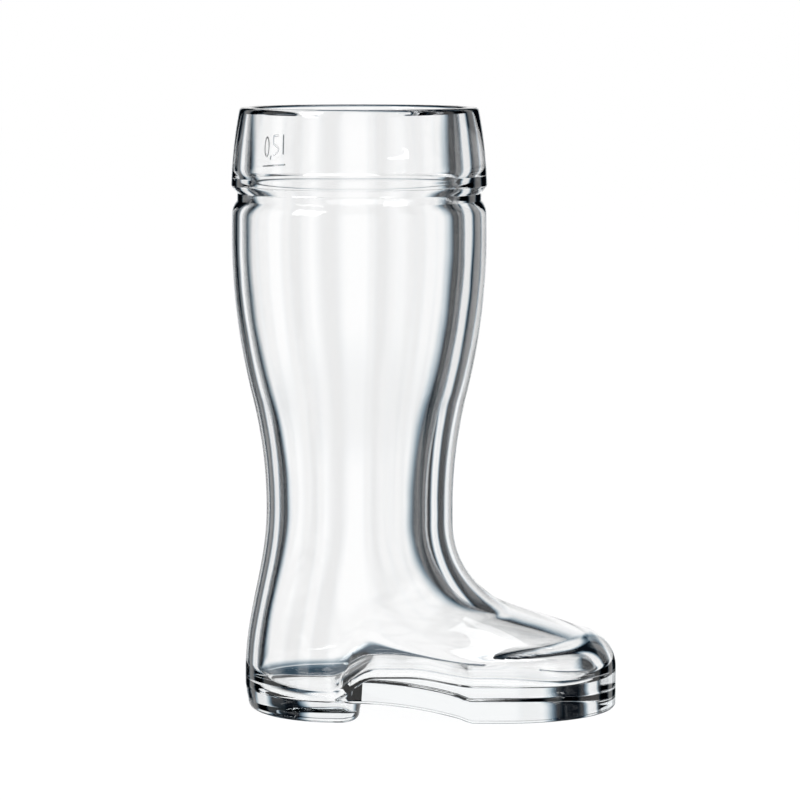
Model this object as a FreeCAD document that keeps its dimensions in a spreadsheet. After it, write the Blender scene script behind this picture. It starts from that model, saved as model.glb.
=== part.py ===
import FreeCAD, Part
import math
import os

import Sketcher

# Half-litre beer boot of clear pressed glass.
#
# The glass stands on a heel and a flat fore sole, with an arch between them.
# Above the foot a calf-shaped leg rises to a neck groove, and above the groove
# flares the collar that one drinks from. The real glass is one annealed piece.
# It is divided here where its moulds meet: at the neck groove, at the narrowest
# ring of the ankle, and at the level of the bottom plate, which forms the fore
# sole and the heel. The relief on the collar (a filling line and plain numerals)
# is a solid for each stroke.
#
# Millimetres. +Z is up and +X points to the toe. The leg's axis is at x = 0
# while the pieces are drawn, and every piece is then moved so that the origin
# lies on the floor under the middle of the glass.

Vector = FreeCAD.Vector

doc = FreeCAD.newDocument("beer_boot")


# ---- driving dimensions -------------------------------------------------------

SIZES = (
    # (alias, value, meaning)
    ("height", 195.0, "floor to rim"),
    ("cuff_height", 27.4, "rim down to the seam in the neck groove"),
    ("rim_inset", 2.9, "how far the rim lies inside the collar's lower lip"),
    ("rim_wall", 4.2, "mean wall at the rim"),
    ("rim_round", 1.2, "fire-polished edges of the rim"),
    ("cuff_radius", 41.2, "outside of the collar at its lower lip"),
    ("cuff_arc", 150.0, "slight belly of the collar, seen from the side"),
    ("cuff_undercut", 2.2, "height of the slope under the collar's lip"),
    ("cuff_lip_round", 1.0, "round edge of the collar's lip"),
    ("neck_inset", 1.9, "depth of the neck groove under the collar's lip"),
    ("neck_band", 2.4, "plain band of the neck below the seam"),
    ("shoulder_round", 7.0, "round from the neck band to the calf"),
    ("calf_inset", 0.1, "how far the widest calf lies inside the collar's lip"),
    ("calf_drop", 13.6, "seam down to the widest calf"),
    ("calf_share", 0.59, "share of the leg's height that is belly and not hollow"),
    ("calf_wall", 5.0, "mean wall at the calf"),
    ("ankle_radius", 30.3, "outside of the ankle, at its narrowest"),
    ("ankle_level", 66.0, "height of the narrowest ankle"),
    ("ankle_wall", 6.3, "mean wall at the ankle"),
    ("bore_offset", 1.3, "how far the bore's axis lies behind the leg's"),
    ("toe_reach", 83.6, "leg's axis to the tip of the toe"),
    ("toe_centre", 46.0, "leg's axis to where the toe begins to narrow"),
    ("toe_level", 22.0, "height where the vamp's line meets the toe's plumb line"),
    ("toe_round", 12.0, "round over the toe, seen from the side"),
    ("vamp_slope", 18.0, "fall of the vamp in degrees"),
    ("instep_round", 29.0, "hollow of the instep, seen from the side"),
    ("heel_reach", 37.4, "leg's axis to the back of the heel"),
    ("heel_level", 12.0, "height where the foot is longest and widest"),
    ("foot_width", 62.0, "widest part of the foot"),
    ("sole_round", 1.2, "round edge under the fore sole"),
    ("heel_round", 2.6, "round edge under the heel"),
    ("heel_wall", 4.0, "wall at the back of the heel"),
    ("side_wall", 4.6, "walls at the sides of the foot"),
    ("vamp_wall", 6.0, "wall of the instep and vamp"),
    ("toe_wall", 6.0, "wall at the tip of the toe"),
    ("hollow_toe_round", 7.0, "round at the toe of the hollow, seen from the side"),
    ("hollow_floor_round", 4.0, "round edge around the hollow's floor"),
    ("heel_floor", 5.6, "glass under the hollow at the heel"),
    ("arch_floor", 13.0, "top of the hollow's floor over the arch"),
    ("floor_slope", 14.0, "length of the slope from the heel's floor up to the arch's"),
    ("slope_ahead", 4.5, "front of the heel to the top of that slope"),
    ("fore_floor", 10.0, "glass under the hollow at the fore foot"),
    ("plate_level", 7.6, "parting line of the bottom plate"),
    ("heel_front", 1.0, "leg's axis to the front of the heel"),
    ("heel_corner", 9.0, "rounded front corners of the heel"),
    ("heel_spread", 0.6, "how far the heel's corners start outside the foot's side"),
    ("arch_rise", 6.4, "height of the arch beside the heel"),
    ("arch_end", 37.0, "leg's axis to where the fore sole meets the floor"),
    ("arch_round", 130.0, "bow of the arch, seen from the side"),
    ("fill_drop", 21.0, "rim down to the filling line"),
    ("mark_turn", 139.0, "degrees from the toe round to the marks"),
    ("mark_relief", 0.35, "how far the marks stand out"),
    ("line_length", 13.0, "length of the filling line"),
    ("numeral_height", 5.0, "height of the numerals"),
    ("numeral_width", 2.8, "width of the numerals"),
    ("numeral_space", 1.4, "space on each side of the comma"),
    ("unit_space", 2.4, "space between the number and its unit"),
    ("bowl_height", 2.9, "height of the five's bowl"),
    ("comma_drop", 1.0, "how far the comma hangs below the numerals"),
    ("numeral_gap", 3.0, "filling line to the numerals"),
    ("stroke_width", 0.7, "width of each stroke"),
)

sheet = doc.addObject("Spreadsheet::Sheet", "Sizes")
for row, (alias, value, meaning) in enumerate(SIZES, start=1):
    sheet.set(f"A{row}", meaning)
    sheet.set(f"B{row}", str(value))
    sheet.setAlias(f"B{row}", alias)
doc.recompute()


def size(expression):
    """The number that an expression over the sheet's aliases gives."""
    value = sheet.evalExpression(expression)
    return float(getattr(value, "Value", value))


# Heights and radii that follow from the driving sizes, as expressions that
# sketches bind to.
SEAM = "(Sizes.height - Sizes.cuff_height)"
CALF_LEVEL = f"({SEAM} - Sizes.calf_drop)"
LEG_SPAN = f"({CALF_LEVEL} - Sizes.ankle_level)"
RIM_RADIUS = "(Sizes.cuff_radius - Sizes.rim_inset)"
NECK_RADIUS = "(Sizes.cuff_radius - Sizes.neck_inset)"
CALF_RADIUS = "(Sizes.cuff_radius - Sizes.calf_inset)"


def swell(ankle, calf):
    """Where the hollow arc above the ankle turns into the belly of the calf.

    Both arcs are plumb at their own end and tangent where they meet, so their
    radii add up to one length that the drop and the span fix, and they share it
    as they share the height. Returns the radii of the hollow and of the belly,
    and the place (radius, height) of the turn.
    """
    drop = f"({calf} - {ankle})"
    both = f"(({drop}^2 + {LEG_SPAN}^2) / (2 * {drop}))"
    hollow = f"((1 - Sizes.calf_share) * {both})"
    belly = f"(Sizes.calf_share * {both})"
    turn_radius = f"({calf} - Sizes.calf_share * {drop})"
    turn_level = f"({CALF_LEVEL} - Sizes.calf_share * {LEG_SPAN})"
    return hollow, belly, turn_radius, turn_level


# ---- sketches and bodies ------------------------------------------------------


def plane(body, role):
    """The body's own origin plane with that role."""
    return [item for item in body.Origin.OriginFeatures if item.Role == role][0]


def bowed(start, end, radius, side):
    """Arc from start to end, bowed to the right of the way there (side 1) or left (-1)."""
    half = (end - start) / 2
    right = Vector(half.y, -half.x, 0).normalize() * side
    centre = start + half - right * math.sqrt(radius**2 - half.Length**2)
    return Part.Arc(start, centre + right * radius, end)


def draw_outline(sketch, corners, arcs=None):
    """Closed outline through corners, each a pair of expressions for x and z.

    arcs maps the number of a side to (radius expression, bow), where the bow is
    1 for an arc that swells outward and -1 for a hollow one. Every corner and
    radius is bound to its expression.
    """
    arcs = arcs or {}
    points = [Vector(size(across), size(up), 0) for across, up in corners]
    ends = []
    for number, start in enumerate(points):
        end = points[(number + 1) % len(points)]
        if number in arcs:
            radius, side = arcs[number]
            side_line = sketch.addGeometry(bowed(start, end, size(radius), side))
            ends.append((side_line, 1, 2) if side > 0 else (side_line, 2, 1))
        else:
            ends.append((sketch.addGeometry(Part.LineSegment(start, end)), 1, 2))
    for number, (side_line, _, end) in enumerate(ends):
        following, start, _ = ends[(number + 1) % len(ends)]
        sketch.addConstraint(Sketcher.Constraint("Coincident", side_line, end, following, start))
    for number, (across, up) in enumerate(corners):
        side_line, start, _ = ends[number]
        for kind, value in (("DistanceX", across), ("DistanceY", up)):
            if value == "0" and kind == "DistanceX":
                sketch.addConstraint(Sketcher.Constraint("PointOnObject", side_line, start, -2))
            elif value == "0":
                sketch.addConstraint(Sketcher.Constraint("PointOnObject", side_line, start, -1))
            else:
                place = Sketcher.Constraint(kind, -1, 1, side_line, start, size(value))
                held = sketch.addConstraint(place)
                sketch.setExpression(f"Constraints[{held}]", value)
    for number, (radius, _) in arcs.items():
        held = sketch.addConstraint(Sketcher.Constraint("Radius", ends[number][0], size(radius)))
        sketch.setExpression(f"Constraints[{held}]", radius)


def new_body(name):
    body = doc.addObject("PartDesign::Body", name)
    body.Label = name
    return body


def body_outline(body, name, corners, arcs=None, behind="0"):
    """Outline on the body's XZ plane, its own axis moved back by 'behind'."""
    sketch = body.newObject("Sketcher::SketchObject", name)
    sketch.AttachmentSupport = [(plane(body, "XZ_Plane"), "")]
    sketch.MapMode = "FlatFace"
    sketch.setExpression("AttachmentOffset.Base.x", f"-1 * ({behind})")
    draw_outline(sketch, corners, arcs)
    return sketch


def turn(body, kind, name, sketch):
    """Revolution or Groove of a sketch about the sketch's own upright axis."""
    feature = body.newObject(f"PartDesign::{kind}", name)
    feature.Profile = sketch
    feature.ReferenceAxis = (sketch, ["V_Axis"])
    feature.Angle = 360
    doc.recompute()
    return feature


def ring_edges(shape, level, smallest):
    """Names of the circular edges at a height whose radius is at least 'smallest'."""
    names = []
    for number, edge in enumerate(shape.Edges, start=1):
        box = edge.BoundBox
        flat = box.ZLength < 0.01 and abs(box.ZMin - level) < 0.01
        if flat and box.XLength / 2 > smallest:
            names.append(f"Edge{number}")
    return names


def round_rings(body, name, base, level, smallest, radius):
    rounding = body.newObject("PartDesign::Fillet", name)
    rounding.Base = (base, ring_edges(base.Shape, level, smallest))
    rounding.setExpression("Radius", radius)
    doc.recompute()
    return rounding


# ---- the collar ---------------------------------------------------------------

BORE_CALF = f"({CALF_RADIUS} - Sizes.calf_wall)"
BORE_ANKLE = "(Sizes.ankle_radius - Sizes.ankle_wall)"
BORE_BELLY = swell(BORE_ANKLE, BORE_CALF)[1]
BORE_NECK = f"({BORE_CALF} - {BORE_BELLY} + sqrt({BORE_BELLY}^2 - Sizes.calf_drop^2))"
LIP_LEVEL = f"({SEAM} + Sizes.cuff_undercut)"


def make_cuff():
    """Flared collar: undercut lip, slightly bellied outside, eccentric conical bore."""
    body = new_body("cuff")
    outside = body_outline(
        body,
        "cuff_outside",
        [
            ("0", SEAM),
            (NECK_RADIUS, SEAM),
            ("Sizes.cuff_radius", LIP_LEVEL),
            (RIM_RADIUS, "Sizes.height"),
            ("0", "Sizes.height"),
        ],
        {2: ("Sizes.cuff_arc", 1)},
    )
    turn(body, "Revolution", "cuff_blank", outside)
    bore = body_outline(
        body,
        "cuff_bore_outline",
        [
            ("0", SEAM),
            (BORE_NECK, SEAM),
            (f"({RIM_RADIUS} - Sizes.rim_wall)", "Sizes.height"),
            ("0", "Sizes.height"),
        ],
        behind="Sizes.bore_offset",
    )
    ring = turn(body, "Groove", "cuff_bore", bore)
    lip = round_rings(
        body, "cuff_lip", ring, size(LIP_LEVEL), size(NECK_RADIUS), "Sizes.cuff_lip_round"
    )
    round_rings(body, "cuff_rim", lip, size("Sizes.height"), 0.0, "Sizes.rim_round")
    return body


# ---- the leg ------------------------------------------------------------------

NECK_FOOT = f"({SEAM} - Sizes.neck_band)"
# The shoulder's arc is tangent to the calf's arc from inside and ends at the
# foot of the neck band, which fixes where it meets the calf. In the triangle of
# the neck's corner and the two centres, the sides are these three.
CALF_BELLY = swell("Sizes.ankle_radius", CALF_RADIUS)[1]
CALF_CENTRE = f"({CALF_RADIUS} - {CALF_BELLY})"
CENTRES = f"({CALF_BELLY} - Sizes.shoulder_round)"
NECK_OUT = f"({NECK_RADIUS} - {CALF_CENTRE})"
NECK_UP = f"({NECK_FOOT} - {CALF_LEVEL})"
NECK_AWAY = f"sqrt({NECK_OUT}^2 + {NECK_UP}^2)"
NECK_BEARING = f"atan({NECK_UP} / {NECK_OUT})"
SHOULDER_TURN = (
    f"acos(({CENTRES}^2 + {NECK_AWAY}^2 - Sizes.shoulder_round^2)"
    f" / (2 * {CENTRES} * {NECK_AWAY}))"
)
SHOULDER_BEARING = f"({NECK_BEARING} - {SHOULDER_TURN})"
SHOULDER_OUT = f"({CALF_CENTRE} + {CALF_BELLY} * cos({SHOULDER_BEARING}))"
SHOULDER_LEVEL = f"({CALF_LEVEL} + {CALF_BELLY} * sin({SHOULDER_BEARING}))"


def make_leg():
    """Shaft turned about the leg's axis: hollow ankle, belly of the calf, shoulder, neck."""
    body = new_body("leg")
    hollow, belly, turn_radius, turn_level = swell("Sizes.ankle_radius", CALF_RADIUS)
    outside = body_outline(
        body,
        "leg_outside",
        [
            ("0", "Sizes.ankle_level"),
            ("Sizes.ankle_radius", "Sizes.ankle_level"),
            (turn_radius, turn_level),
            (SHOULDER_OUT, SHOULDER_LEVEL),
            (NECK_RADIUS, NECK_FOOT),
            (NECK_RADIUS, SEAM),
            ("0", SEAM),
        ],
        {1: (hollow, -1), 2: (belly, 1), 3: ("Sizes.shoulder_round", 1)},
    )
    turn(body, "Revolution", "leg_blank", outside)
    hollow, belly, turn_radius, turn_level = swell(BORE_ANKLE, BORE_CALF)
    bore = body_outline(
        body,
        "leg_bore_outline",
        [
            ("0", "Sizes.ankle_level"),
            (BORE_ANKLE, "Sizes.ankle_level"),
            (turn_radius, turn_level),
            (BORE_NECK, SEAM),
            ("0", SEAM),
        ],
        {1: (hollow, -1), 2: (belly, 1)},
        behind="Sizes.bore_offset",
    )
    turn(body, "Groove", "leg_bore", bore)
    return body


# ---- the foot's two skins -----------------------------------------------------

# Fineness of the drawing, not sizes of the glass.
TOE_STEPS = 6
SECTION_POINTS = 28
FOOT_SECTIONS = 18
FLOOR_SECTIONS = 4
# How late the toe's oval draws away from the ankle on the way down the vamp.
TOE_DELAY = 3.5


def on_circle(centre, radius, angle):
    """Place on an upright circle, the angle counted from the toe's side upward."""
    return centre + Vector(math.cos(angle), 0, math.sin(angle)) * radius


def arc(centre, radius, start, end):
    middle = (start + end) / 2
    places = [on_circle(centre, radius, angle) for angle in (start, middle, end)]
    return Part.Arc(*places).toShape()


def front_line(throat, reach, level, instep, toe, bottom):
    """Side view of a foot skin's front, from the ankle down to a bottom height.

    Plumb below the ankle, hollow round the instep, straight down the vamp, round
    over the toe and plumb again.
    """
    slope = math.radians(size("Sizes.vamp_slope"))

    def vamp_at(x):
        return level + (reach - x) * math.tan(slope)

    instep_x = throat + instep
    instep_centre = Vector(instep_x, 0, vamp_at(instep_x) + instep / math.cos(slope))
    toe_x = reach - toe
    toe_centre = Vector(toe_x, 0, vamp_at(toe_x) - toe / math.cos(slope))
    vamp_start = 1.5 * math.pi - slope
    vamp_end = 0.5 * math.pi - slope
    ankle = Vector(throat, 0, size("Sizes.ankle_level"))
    return Part.Wire(
        [
            Part.makeLine(ankle, on_circle(instep_centre, instep, math.pi)),
            arc(instep_centre, instep, math.pi, vamp_start),
            Part.makeLine(
                on_circle(instep_centre, instep, vamp_start),
                on_circle(toe_centre, toe, vamp_end),
            ),
            arc(toe_centre, toe, vamp_end, 0),
            Part.makeLine(on_circle(toe_centre, toe, 0), Vector(reach, 0, bottom)),
        ]
    )


def ease(level, at_ankle, at_heel):
    """A width that swells smoothly from the ankle down to the heel's level."""
    top = size("Sizes.ankle_level")
    low = size("Sizes.heel_level")
    way = (top - level) / (top - low)
    way = min(max(way, 0.0), 1.0)
    return at_ankle + (at_heel - at_ankle) * (1 - math.cos(math.pi * way)) / 2


def section(level, back, front, half_width, toe_start):
    """Level outline of the foot: round heel, straight sides and a long oval toe."""
    heel = Vector(half_width - back, 0, level)
    toe = Vector(max(toe_start, heel.x), 0, level)
    side = Vector(0, half_width, 0)
    quarter = math.pi / 2

    def oval(angle):
        return toe + Vector((front - toe.x) * math.cos(angle), half_width * math.sin(angle), 0)

    def rounded(angle):
        return heel + Vector(math.cos(angle), math.sin(angle), 0) * half_width

    steps = [quarter * step / TOE_STEPS for step in range(-TOE_STEPS, TOE_STEPS + 1)]
    toe_curve = Part.BSplineCurve()
    toe_curve.interpolate(Points=[oval(angle) for angle in steps])
    edges = [
        Part.Arc(rounded(2 * quarter), rounded(2.5 * quarter), rounded(3 * quarter)).toShape(),
        toe_curve.toShape(),
        Part.Arc(rounded(quarter), rounded(1.5 * quarter), rounded(2 * quarter)).toShape(),
    ]
    if toe.x - heel.x > 1e-3:
        edges.insert(1, Part.makeLine(heel - side, toe - side))
        edges.insert(3, Part.makeLine(toe + side, heel + side))
    curve = Part.BSplineCurve()
    curve.interpolate(
        Points=Part.Wire(edges).discretize(Number=SECTION_POINTS + 1)[:-1],
        PeriodicFlag=True,
        Parameters=[float(step) for step in range(SECTION_POINTS + 1)],
    )
    return Part.Wire(curve.toShape())


class Skin:
    """One of the foot's skins: the widths at the ankle and at the heel's level."""

    def __init__(self, front, ankle_back, ankle_half, heel_back, heel_half):
        self.rows = front.discretize(Number=FOOT_SECTIONS)
        self.ankle_back = ankle_back
        self.ankle_half = ankle_half
        self.heel_back = heel_back
        self.heel_half = heel_half

    def outline(self, level, front, drawn_in=0.0):
        """Outline at a height whose toe would reach 'front', drawn in all round."""
        back = ease(level, self.ankle_back, self.heel_back)
        half = ease(level, self.ankle_half, self.heel_half)
        heel_x = self.ankle_half - self.ankle_back
        throat = self.rows[0].x
        run = max((front - throat) / (self.rows[-1].x - throat), 0.0)
        toe_start = heel_x + (size("Sizes.toe_centre") - heel_x) * run**TOE_DELAY
        return section(level, back - drawn_in, front - drawn_in, half - drawn_in, toe_start)

    def outlines(self):
        return [self.outline(row.z, row.x) for row in self.rows]


def feature(name, shape):
    item = doc.addObject("Part::Feature", name)
    item.Label = name
    item.Shape = shape
    return item


def outer_skin():
    line = front_line(
        size("Sizes.ankle_radius"),
        size("Sizes.toe_reach"),
        size("Sizes.toe_level"),
        size("Sizes.instep_round"),
        size("Sizes.toe_round"),
        size("Sizes.plate_level"),
    )
    ankle = size("Sizes.ankle_radius")
    return Skin(line, ankle, ankle, size("Sizes.heel_reach"), size("Sizes.foot_width / 2"))


def inner_skin(bottom):
    bore = size(BORE_ANKLE)
    offset = size("Sizes.bore_offset")
    wall = size("Sizes.vamp_wall")
    toe_wall = size("Sizes.toe_wall")
    slope = math.radians(size("Sizes.vamp_slope"))
    # The vamp's line sinks by its wall measured square to it, and rises again
    # along itself by the toe's wall, because the toe's plumb line moves back.
    level = size("Sizes.toe_level") - wall / math.cos(slope) + toe_wall * math.tan(slope)
    line = front_line(
        bore - offset,
        size("Sizes.toe_reach") - toe_wall,
        level,
        size("Sizes.instep_round") + wall,
        size("Sizes.hollow_toe_round"),
        bottom,
    )
    return Skin(
        line,
        bore + offset,
        bore,
        size("Sizes.heel_reach - Sizes.heel_wall"),
        size("Sizes.foot_width / 2 - Sizes.side_wall"),
    )


def make_foot_blank():
    """The foot's outer skin as a solid, from the ankle ring to the bottom plate."""
    return feature("foot_blank", Part.makeLoft(outer_skin().outlines(), True, False))


def make_plate_blank():
    """The bottom plate before it is divided: the foot's lowest outline, pulled down."""
    outline = outer_skin().outlines()[-1]
    return feature("plate_blank", Part.Face(outline).extrude(Vector(0, 0, -size("Sizes.plate_level"))))


def make_hollow():
    """The foot's hollow as a solid, rounded under to the glass floor at the heel."""
    edge = size("Sizes.hollow_floor_round")
    floor = size("Sizes.heel_floor")
    skin = inner_skin(floor + edge)
    wires = skin.outlines()
    for step in range(1, FLOOR_SECTIONS + 1):
        angle = math.pi / 2 * step / FLOOR_SECTIONS
        level = floor + edge * (1 - math.sin(angle))
        wires.append(skin.outline(level, skin.rows[-1].x, edge * (1 - math.cos(angle))))
    return feature("hollow_skin", Part.makeLoft(wires, True, False))


# ---- tools that divide and shape the foot -------------------------------------


def side_prism(name, corners, arcs=None):
    """Solid whose outline is drawn in side view and runs across the whole foot."""
    body = new_body(name)
    sketch = body_outline(body, f"{name}_outline", corners, arcs)
    pad = body.newObject("PartDesign::Pad", f"{name}_pad")
    pad.Profile = sketch
    pad.Midplane = True
    pad.setExpression("Length", "2 * Sizes.foot_width")
    doc.recompute()
    return body


def boolean(kind, name, base, tool):
    result = doc.addObject(f"Part::{kind}", name)
    result.Label = name
    result.Base = base
    result.Tool = tool
    result.Refine = False
    doc.recompute()
    return result


def make_floor_tool():
    """Glass under the hollow in front of the heel: up over the arch, then down."""
    slope_end = "(Sizes.heel_front + Sizes.slope_ahead)"
    slope_start = f"({slope_end} - Sizes.floor_slope)"
    beyond = "(2 * Sizes.toe_reach)"
    return side_prism(
        "hollow_floor",
        [
            (slope_start, "0"),
            (slope_start, "Sizes.heel_floor"),
            (slope_end, "Sizes.arch_floor"),
            ("(Sizes.arch_end / 2)", "Sizes.arch_floor"),
            ("Sizes.arch_end", "Sizes.fore_floor"),
            (beyond, "Sizes.fore_floor"),
            (beyond, "0"),
        ],
    )


def make_arch_tool():
    """Air under the arch: flat beside the heel's corners, then falling to the fore sole."""
    behind = "(Sizes.heel_front - 2 * Sizes.heel_corner)"
    below = "(-1 * Sizes.plate_level)"
    return side_prism(
        "arch_air",
        [
            (behind, below),
            ("Sizes.arch_end", below),
            ("Sizes.arch_end", "0"),
            ("Sizes.heel_front", "Sizes.arch_rise"),
            (behind, "Sizes.arch_rise"),
        ],
        {2: ("Sizes.arch_round", 1)},
    )


def make_heel_tool():
    """Upright block with two rounded corners that bounds the heel in plan."""
    body = new_body("heel_space")
    sketch = body.newObject("Sketcher::SketchObject", "heel_plan")
    sketch.AttachmentSupport = [(plane(body, "XY_Plane"), "")]
    sketch.MapMode = "FlatFace"
    straight = "(Sizes.heel_front - Sizes.heel_corner)"
    side = "(Sizes.foot_width / 2 + Sizes.heel_spread)"
    inner = f"({side} - Sizes.heel_corner)"
    back = "(-2 * Sizes.heel_reach)"
    draw_outline(
        sketch,
        [
            (back, f"(-1 * {side})"),
            (straight, f"(-1 * {side})"),
            ("Sizes.heel_front", f"(-1 * {inner})"),
            ("Sizes.heel_front", inner),
            (straight, side),
            (back, side),
        ],
        {1: ("Sizes.heel_corner", 1), 3: ("Sizes.heel_corner", 1)},
    )
    pad = body.newObject("PartDesign::Pad", "heel_pad")
    pad.Profile = sketch
    pad.Midplane = True
    pad.setExpression("Length", "4 * Sizes.plate_level")
    doc.recompute()
    return body


def round_bottom(name, base, radius):
    """Base with the edges that lie on the floor rounded."""
    result = doc.addObject("Part::Fillet", name)
    result.Base = base
    rounding = size(radius)
    result.Edges = [
        (number, rounding, rounding)
        for number, edge in enumerate(base.Shape.Edges, start=1)
        if edge.BoundBox.ZMax < 0.01
    ]
    doc.recompute()
    return result


def make_foot_pieces():
    """Foot above the parting line; heel and fore sole below it; one hollow in all."""
    hollow = boolean("Cut", "foot_hollow", make_hollow(), make_floor_tool())
    foot = boolean("Cut", "foot", make_foot_blank(), hollow)
    plate = make_plate_blank()
    heel_space = make_heel_tool()
    heel_block = boolean("Common", "heel_block", plate, heel_space)
    heel_rounded = round_bottom("heel_rounded", heel_block, "Sizes.heel_round")
    heel = boolean("Cut", "heel", heel_rounded, hollow)
    sole_rounded = round_bottom("sole_rounded", plate, "Sizes.sole_round")
    sole_block = boolean("Cut", "sole_block", sole_rounded, heel_space)
    sole = boolean("Cut", "sole", sole_block, make_arch_tool())
    return [foot, sole, heel]


# ---- relief on the collar -----------------------------------------------------

# Straight strokes that draw the five's bowl.
BOWL_STEPS = 6


def make_relief_band():
    """Thin skin on the collar's outside, as thick as the marks stand out."""
    sketch = doc.addObject("Sketcher::SketchObject", "relief_outline")
    sketch.Placement = FreeCAD.Placement(Vector(), FreeCAD.Rotation(Vector(1, 0, 0), 90))
    raised = "Sizes.mark_relief"
    draw_outline(
        sketch,
        [
            ("Sizes.cuff_radius", LIP_LEVEL),
            (f"(Sizes.cuff_radius + {raised})", LIP_LEVEL),
            (f"({RIM_RADIUS} + {raised})", "Sizes.height"),
            (RIM_RADIUS, "Sizes.height"),
        ],
        {1: ("Sizes.cuff_arc", 1), 3: ("Sizes.cuff_arc", -1)},
    )
    band = doc.addObject("Part::Revolution", "relief_band")
    band.Source = sketch
    band.Axis = Vector(0, 0, 1)
    band.Angle = 360
    band.Solid = True
    doc.recompute()
    return band


def bar(start, end):
    """Flat face of a straight pen stroke between two places (across, up)."""
    start = Vector(*start, 0)
    end = Vector(*end, 0)
    along = (end - start).normalize() * size("Sizes.stroke_width / 2")
    aside = Vector(-along.y, along.x, 0)
    corners = [start - along - aside, end + along - aside, end + along + aside]
    corners.append(start - along + aside)
    return Part.Face(Part.makePolygon(corners + corners[:1]))


def stroke(points):
    """Flat face of a bent pen stroke drawn along places (across, up)."""
    path = Part.makePolygon([Vector(*point, 0) for point in points])
    return Part.Face(path.makeOffset2D(size("Sizes.stroke_width / 2"), openResult=False))


def oval_ring(centre, half_across, half_up):
    """Flat face of the numeral nought: an oval ring one stroke wide."""
    pen = size("Sizes.stroke_width")

    def oval(grown):
        return Part.Wire(
            Part.Ellipse(
                centre + Vector(0, half_up + grown, 0),
                centre + Vector(half_across + grown, 0, 0),
                centre,
            ).toShape()
        )

    return Part.Face(oval(pen / 2)).cut(Part.Face(oval(-pen / 2)))


def numeral_faces():
    """The marks, flat: name and face, with x across the marks and y up.

    In the photograph they read from left to right through the glass, so from
    outside they run the other way: the nought lies furthest to the right.
    """
    line = size("Sizes.line_length / 2")
    fill = size("Sizes.height - Sizes.fill_drop")
    low = fill + size("Sizes.numeral_gap")
    top = low + size("Sizes.numeral_height")
    wide = size("Sizes.numeral_width")
    space = size("Sizes.numeral_space")
    unit_space = size("Sizes.unit_space")
    right = (2 * wide + 2 * space + unit_space) / 2
    nought = Vector(right - wide / 2, (low + top) / 2, 0)
    comma = right - wide - space
    tail = size("Sizes.comma_drop")
    five = comma - space
    litre = five - wide - unit_space
    bowl_top = low + size("Sizes.bowl_height")
    turns = [math.pi * step / BOWL_STEPS for step in range(BOWL_STEPS + 1)]
    bowl = [
        (five - wide * math.sin(turn), low + (bowl_top - low) * (1 - turn / math.pi)) for turn in turns
    ]
    return [
        ("fill_line", bar((-line, fill), (line, fill))),
        ("mark_nought", oval_ring(nought, wide / 2, (top - low) / 2)),
        ("mark_comma", bar((comma, low), (comma + tail / 2, low - tail))),
        ("mark_five", stroke([(five - wide, top), (five, top)] + bowl)),
        ("mark_litre", bar((litre, low), (litre, top))),
    ]


def make_marks():
    """Each mark: its flat face pushed out through the collar and kept in the band."""
    band = make_relief_band()
    turned = math.radians(size("Sizes.mark_turn"))
    outward = Vector(math.cos(turned), math.sin(turned), 0)
    across = Vector(-outward.y, outward.x, 0)
    # Rows of the matrix place flat x along 'across', flat y upright, flat z outward.
    standing = FreeCAD.Placement(
        FreeCAD.Matrix(across.x, 0, outward.x, 0, across.y, 0, outward.y, 0, 0, 1, 0, 0, 0, 0, 0, 1)
    )
    marks = []
    for name, face in numeral_faces():
        face.Placement = standing
        prism = feature(f"{name}_prism", face.extrude(outward * 2 * size("Sizes.cuff_radius")))
        marks.append(boolean("Common", name, band, prism))
    return marks


# ---- build, place, check and write --------------------------------------------

pieces = [make_cuff(), make_leg()] + make_foot_pieces() + make_marks()

middle = "(Sizes.toe_reach - Sizes.cuff_radius) / 2"
for piece in pieces:
    piece.setExpression("Placement.Base.x", f"-1 * {middle}")
doc.recompute()

for item in doc.Objects:
    if "Invalid" in item.State or "Error" in item.State:
        raise RuntimeError(f"{item.Name} did not rebuild: {item.State}")
for piece in pieces:
    if piece.Shape.isNull() or not piece.Shape.isValid():
        raise RuntimeError(f"{piece.Label} has no valid shape")

os.makedirs("parts", exist_ok=True)
for piece in pieces:
    piece.Shape.exportStep(f"parts/{piece.Label}.step")
    box = piece.Shape.optimalBoundingBox()
    print(
        f"{piece.Label:12s} solids {len(piece.Shape.Solids)}  volume {piece.Shape.Volume / 1000:7.2f} cm3"
        f"  x {box.XMin:6.1f}..{box.XMax:6.1f}  y {box.YMin:6.1f}..{box.YMax:6.1f}"
        f"  z {box.ZMin:6.1f}..{box.ZMax:6.1f}"
    )
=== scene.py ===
# %% [markdown]
# # A beer boot of clear glass
#
# The real object is a half-litre drinking glass in the shape of a boot. It is one
# piece of soda-lime glass, pressed and blown in an iron mould and then fire-polished,
# so it has no joints and no paint: everything that the eye sees is the shape of its
# two skins, outer and inner. The lesson therefore makes those two skins with care,
# closes them into one wall, and then lights the wall as glass is lit in a studio.

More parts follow.
